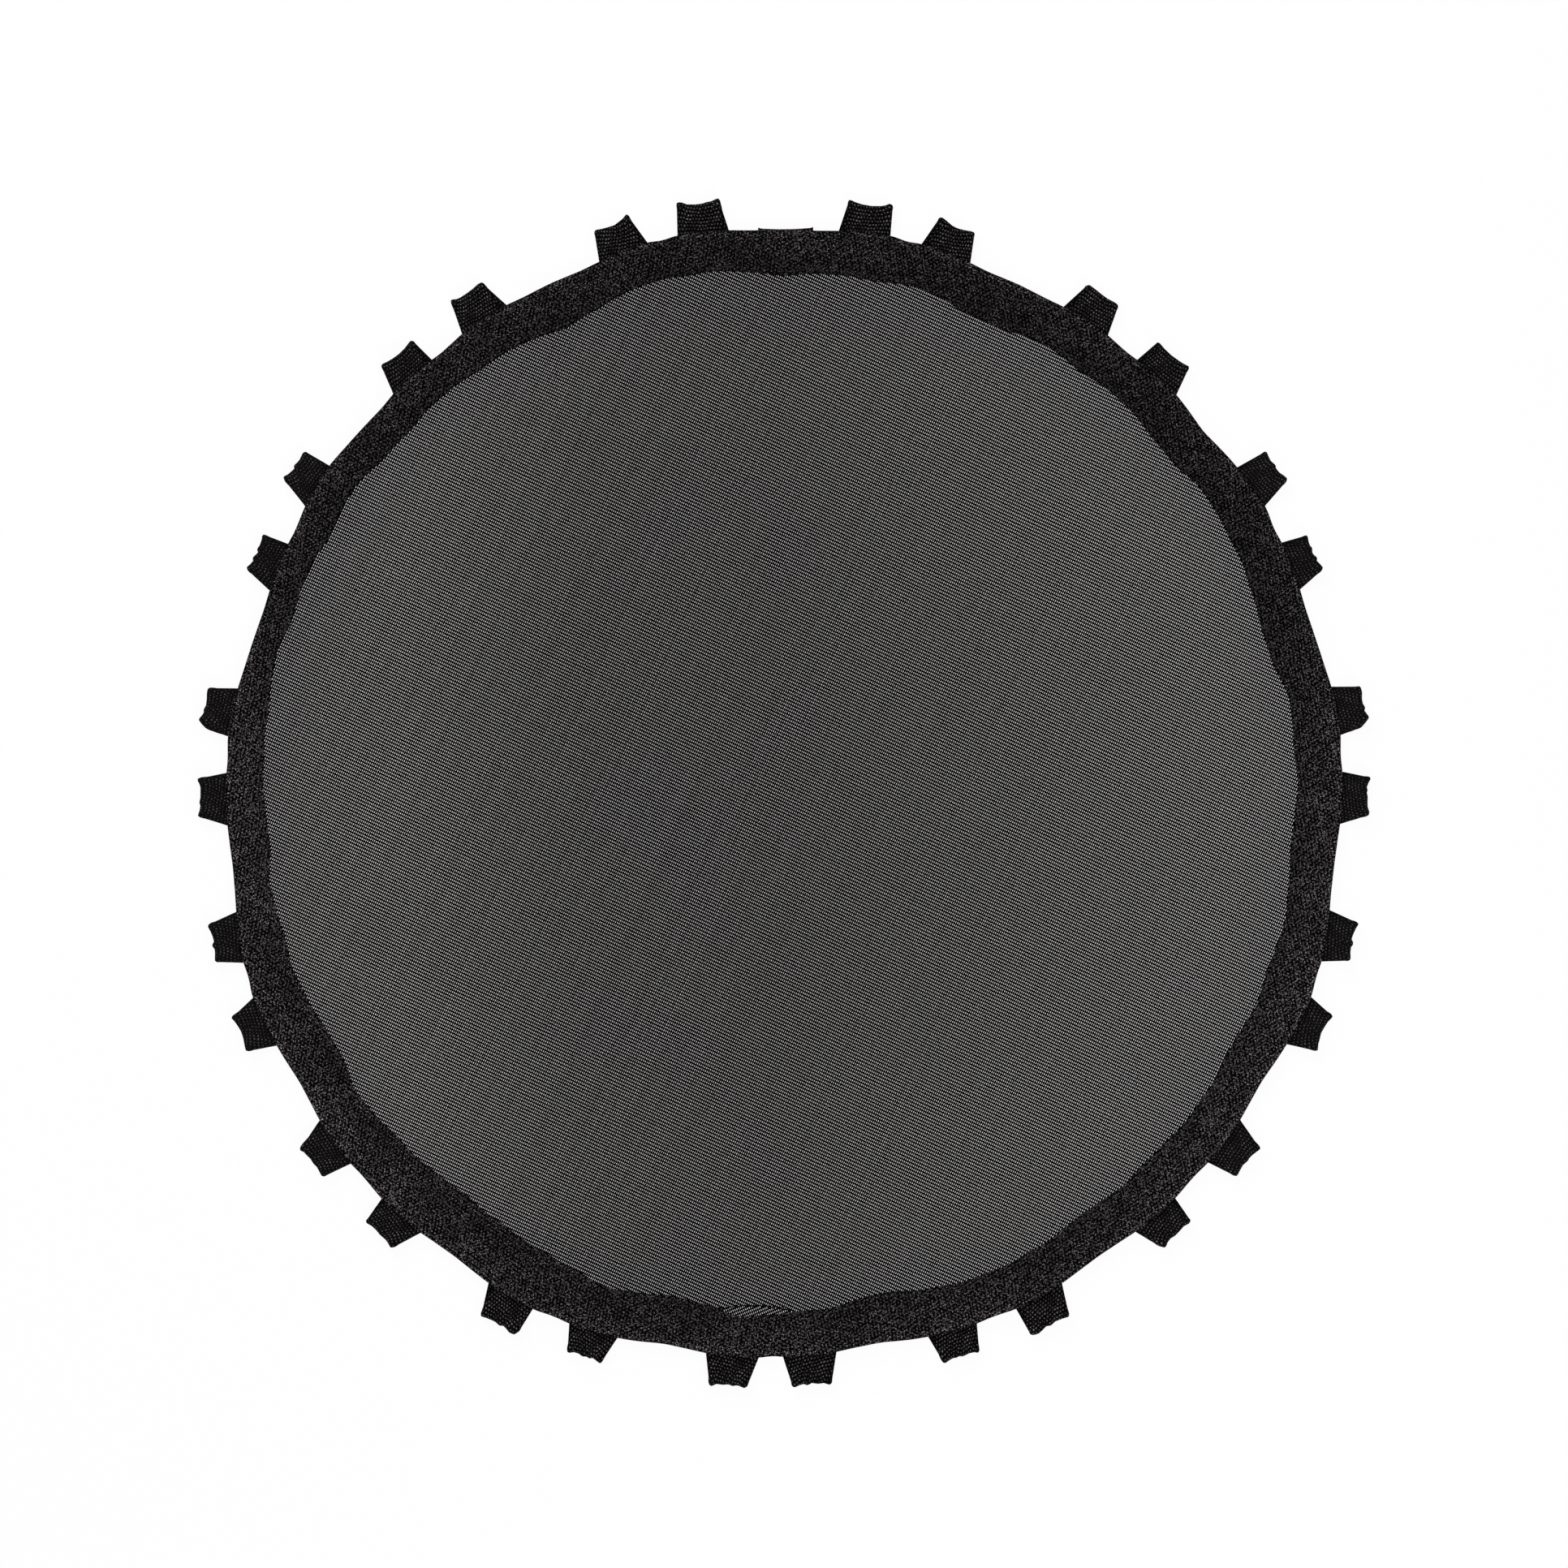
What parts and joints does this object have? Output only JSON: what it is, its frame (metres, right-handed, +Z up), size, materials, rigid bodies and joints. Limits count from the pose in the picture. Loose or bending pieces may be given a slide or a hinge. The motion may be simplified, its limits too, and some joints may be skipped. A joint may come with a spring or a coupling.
{
  "type": "trampoline jump mat",
  "caption": "Round open-mesh jump mat of a mini trampoline, with a sewn webbing border and folded webbing loops around its rim for an elastic cord.",
  "frame": {"origin": "centre of the mat's outline in plan, on the plane that the flat mat rests on", "axes": "+Z up, away from the floor; +Y towards the overlap in the border; +X to the right of it, seen from above"},
  "size_m": [0.7234, 0.7347, 0.0074],
  "materials": {
    "mesh_cloth": "matte woven",
    "border_webbing": "matte woven",
    "loop_webbing": "matte woven"
  },
  "bodies": {
    "mat": {"mesh_sheet": "mesh_cloth", "rim_band_top": "border_webbing", "rim_band_under": "border_webbing", "band_splice": "border_webbing", "loop_tails": "loop_webbing"},
    "loop_01": {"webbing_loop_01": "loop_webbing"},
    "loop_02": {"webbing_loop_02": "loop_webbing"},
    "loop_03": {"webbing_loop_03": "loop_webbing"},
    "loop_04": {"webbing_loop_04": "loop_webbing"},
    "loop_05": {"webbing_loop_05": "loop_webbing"},
    "loop_06": {"webbing_loop_06": "loop_webbing"},
    "loop_07": {"webbing_loop_07": "loop_webbing"},
    "loop_08": {"webbing_loop_08": "loop_webbing"},
    "loop_09": {"webbing_loop_09": "loop_webbing"},
    "loop_10": {"webbing_loop_10": "loop_webbing"},
    "loop_11": {"webbing_loop_11": "loop_webbing"},
    "loop_12": {"webbing_loop_12": "loop_webbing"},
    "loop_13": {"webbing_loop_13": "loop_webbing"},
    "loop_14": {"webbing_loop_14": "loop_webbing"},
    "loop_15": {"webbing_loop_15": "loop_webbing"},
    "loop_16": {"webbing_loop_16": "loop_webbing"},
    "loop_17": {"webbing_loop_17": "loop_webbing"},
    "loop_18": {"webbing_loop_18": "loop_webbing"},
    "loop_19": {"webbing_loop_19": "loop_webbing"},
    "loop_20": {"webbing_loop_20": "loop_webbing"},
    "loop_21": {"webbing_loop_21": "loop_webbing"},
    "loop_22": {"webbing_loop_22": "loop_webbing"},
    "loop_23": {"webbing_loop_23": "loop_webbing"},
    "loop_24": {"webbing_loop_24": "loop_webbing"},
    "loop_25": {"webbing_loop_25": "loop_webbing"},
    "loop_26": {"webbing_loop_26": "loop_webbing"},
    "loop_27": {"webbing_loop_27": "loop_webbing"},
    "loop_28": {"webbing_loop_28": "loop_webbing"},
    "loop_29": {"webbing_loop_29": "loop_webbing"},
    "loop_30": {"webbing_loop_30": "loop_webbing"}
  },
  "joints": [
    {"name": "loop_01_hinge", "type": "hinge", "parent": "mat", "child": "loop_01", "pos_m": [0.05015, 0.34618, 0.0013], "axis": [0.9929, -0.1189, 0], "range_deg": [-80, 55], "stiffness_Nm_per_rad": 0.005},
    {"name": "loop_02_hinge", "type": "hinge", "parent": "mat", "child": "loop_02", "pos_m": [0.10066, 0.3341, 0.0013], "axis": [0.9389, -0.3442, 0], "range_deg": [-80, 55], "stiffness_Nm_per_rad": 0.005},
    {"name": "loop_03_hinge", "type": "hinge", "parent": "mat", "child": "loop_03", "pos_m": [0.18673, 0.29202, 0.0013], "axis": [0.8497, -0.5273, 0], "range_deg": [-80, 55], "stiffness_Nm_per_rad": 0.005},
    {"name": "loop_04_hinge", "type": "hinge", "parent": "mat", "child": "loop_04", "pos_m": [0.23011, 0.25721, 0.0013], "axis": [0.7024, -0.7118, 0], "range_deg": [-80, 55], "stiffness_Nm_per_rad": 0.005},
    {"name": "loop_05_hinge", "type": "hinge", "parent": "mat", "child": "loop_05", "pos_m": [0.28724, 0.18946, 0.0013], "axis": [0.5759, -0.8175, 0], "range_deg": [-80, 55], "stiffness_Nm_per_rad": 0.005},
    {"name": "loop_06_hinge", "type": "hinge", "parent": "mat", "child": "loop_06", "pos_m": [0.3135, 0.14081, 0.0013], "axis": [0.3715, -0.9284, 0], "range_deg": [-80, 55], "stiffness_Nm_per_rad": 0.005},
    {"name": "loop_07_hinge", "type": "hinge", "parent": "mat", "child": "loop_07", "pos_m": [0.34092, 0.05103, 0.0013], "axis": [0.1905, -0.9817, 0], "range_deg": [-80, 55], "stiffness_Nm_per_rad": 0.005},
    {"name": "loop_08_hinge", "type": "hinge", "parent": "mat", "child": "loop_08", "pos_m": [0.34473, -0.00306, 0.0013], "axis": [-0.0396, -0.9992, 0], "range_deg": [-80, 55], "stiffness_Nm_per_rad": 0.005},
    {"name": "loop_09_hinge", "type": "hinge", "parent": "mat", "child": "loop_09", "pos_m": [0.33481, -0.08807, 0.0013], "axis": [-0.2088, -0.978, 0], "range_deg": [-80, 55], "stiffness_Nm_per_rad": 0.005},
    {"name": "loop_10_hinge", "type": "hinge", "parent": "mat", "child": "loop_10", "pos_m": [0.31676, -0.1401, 0.0013], "axis": [-0.437, -0.8995, 0], "range_deg": [-80, 55], "stiffness_Nm_per_rad": 0.005},
    {"name": "loop_11_hinge", "type": "hinge", "parent": "mat", "child": "loop_11", "pos_m": [0.27189, -0.21541, 0.0013], "axis": [-0.5889, -0.8082, 0], "range_deg": [-80, 55], "stiffness_Nm_per_rad": 0.005},
    {"name": "loop_12_hinge", "type": "hinge", "parent": "mat", "child": "loop_12", "pos_m": [0.22912, -0.25999, 0.0013], "axis": [-0.7775, -0.6289, 0], "range_deg": [-80, 55], "stiffness_Nm_per_rad": 0.005},
    {"name": "loop_13_hinge", "type": "hinge", "parent": "mat", "child": "loop_13", "pos_m": [0.15695, -0.30988, 0.0013], "axis": [-0.8733, -0.4873, 0], "range_deg": [-80, 55], "stiffness_Nm_per_rad": 0.005},
    {"name": "loop_14_hinge", "type": "hinge", "parent": "mat", "child": "loop_14", "pos_m": [0.1035, -0.33146, 0.0013], "axis": [-0.9636, -0.2672, 0], "range_deg": [-80, 55], "stiffness_Nm_per_rad": 0.005},
    {"name": "loop_15_hinge", "type": "hinge", "parent": "mat", "child": "loop_15", "pos_m": [0.01623, -0.34883, 0.0013], "axis": [-0.9952, -0.0978, 0], "range_deg": [-80, 55], "stiffness_Nm_per_rad": 0.005},
    {"name": "loop_16_hinge", "type": "hinge", "parent": "mat", "child": "loop_16", "pos_m": [-0.03205, -0.34842, 0.0013], "axis": [-0.9938, 0.1108, 0], "range_deg": [-80, 55], "stiffness_Nm_per_rad": 0.005},
    {"name": "loop_17_hinge", "type": "hinge", "parent": "mat", "child": "loop_17", "pos_m": [-0.11751, -0.33122, 0.0013], "axis": [-0.9604, 0.2787, 0], "range_deg": [-80, 55], "stiffness_Nm_per_rad": 0.005},
    {"name": "loop_18_hinge", "type": "hinge", "parent": "mat", "child": "loop_18", "pos_m": [-0.16799, -0.30995, 0.0013], "axis": [-0.867, 0.4983, 0], "range_deg": [-80, 55], "stiffness_Nm_per_rad": 0.005},
    {"name": "loop_19_hinge", "type": "hinge", "parent": "mat", "child": "loop_19", "pos_m": [-0.23694, -0.26049, 0.0013], "axis": [-0.7641, 0.6451, 0], "range_deg": [-80, 55], "stiffness_Nm_per_rad": 0.005},
    {"name": "loop_20_hinge", "type": "hinge", "parent": "mat", "child": "loop_20", "pos_m": [-0.27795, -0.21627, 0.0013], "axis": [-0.5739, 0.819, 0], "range_deg": [-80, 55], "stiffness_Nm_per_rad": 0.005},
    {"name": "loop_21_hinge", "type": "hinge", "parent": "mat", "child": "loop_21", "pos_m": [-0.31962, -0.14099, 0.0013], "axis": [-0.415, 0.9098, 0], "range_deg": [-80, 55], "stiffness_Nm_per_rad": 0.005},
    {"name": "loop_22_hinge", "type": "hinge", "parent": "mat", "child": "loop_22", "pos_m": [-0.33698, -0.08893, 0.0013], "axis": [-0.1978, 0.9802, 0], "range_deg": [-80, 55], "stiffness_Nm_per_rad": 0.005},
    {"name": "loop_23_hinge", "type": "hinge", "parent": "mat", "child": "loop_23", "pos_m": [-0.3447, -0.00363, 0.0013], "axis": [-0.0243, 0.9997, 0], "range_deg": [-80, 55], "stiffness_Nm_per_rad": 0.005},
    {"name": "loop_24_hinge", "type": "hinge", "parent": "mat", "child": "loop_24", "pos_m": [-0.34123, 0.04923, 0.0013], "axis": [0.1767, 0.9843, 0], "range_deg": [-80, 55], "stiffness_Nm_per_rad": 0.005},
    {"name": "loop_25_hinge", "type": "hinge", "parent": "mat", "child": "loop_25", "pos_m": [-0.31304, 0.14027, 0.0013], "axis": [0.3652, 0.9309, 0], "range_deg": [-80, 55], "stiffness_Nm_per_rad": 0.005},
    {"name": "loop_26_hinge", "type": "hinge", "parent": "mat", "child": "loop_26", "pos_m": [-0.28744, 0.18992, 0.0013], "axis": [0.5615, 0.8275, 0], "range_deg": [-80, 55], "stiffness_Nm_per_rad": 0.005},
    {"name": "loop_27_hinge", "type": "hinge", "parent": "mat", "child": "loop_27", "pos_m": [-0.22984, 0.25824, 0.0013], "axis": [0.6987, 0.7154, 0], "range_deg": [-80, 55], "stiffness_Nm_per_rad": 0.005},
    {"name": "loop_28_hinge", "type": "hinge", "parent": "mat", "child": "loop_28", "pos_m": [-0.18624, 0.29404, 0.0013], "axis": [0.8466, 0.5323, 0], "range_deg": [-80, 55], "stiffness_Nm_per_rad": 0.005},
    {"name": "loop_29_hinge", "type": "hinge", "parent": "mat", "child": "loop_29", "pos_m": [-0.10055, 0.3348, 0.0013], "axis": [0.9398, 0.3419, 0], "range_deg": [-80, 55], "stiffness_Nm_per_rad": 0.005},
    {"name": "loop_30_hinge", "type": "hinge", "parent": "mat", "child": "loop_30", "pos_m": [-0.05057, 0.34697, 0.0013], "axis": [0.9929, 0.1193, 0], "range_deg": [-80, 55], "stiffness_Nm_per_rad": 0.005}
  ]
}
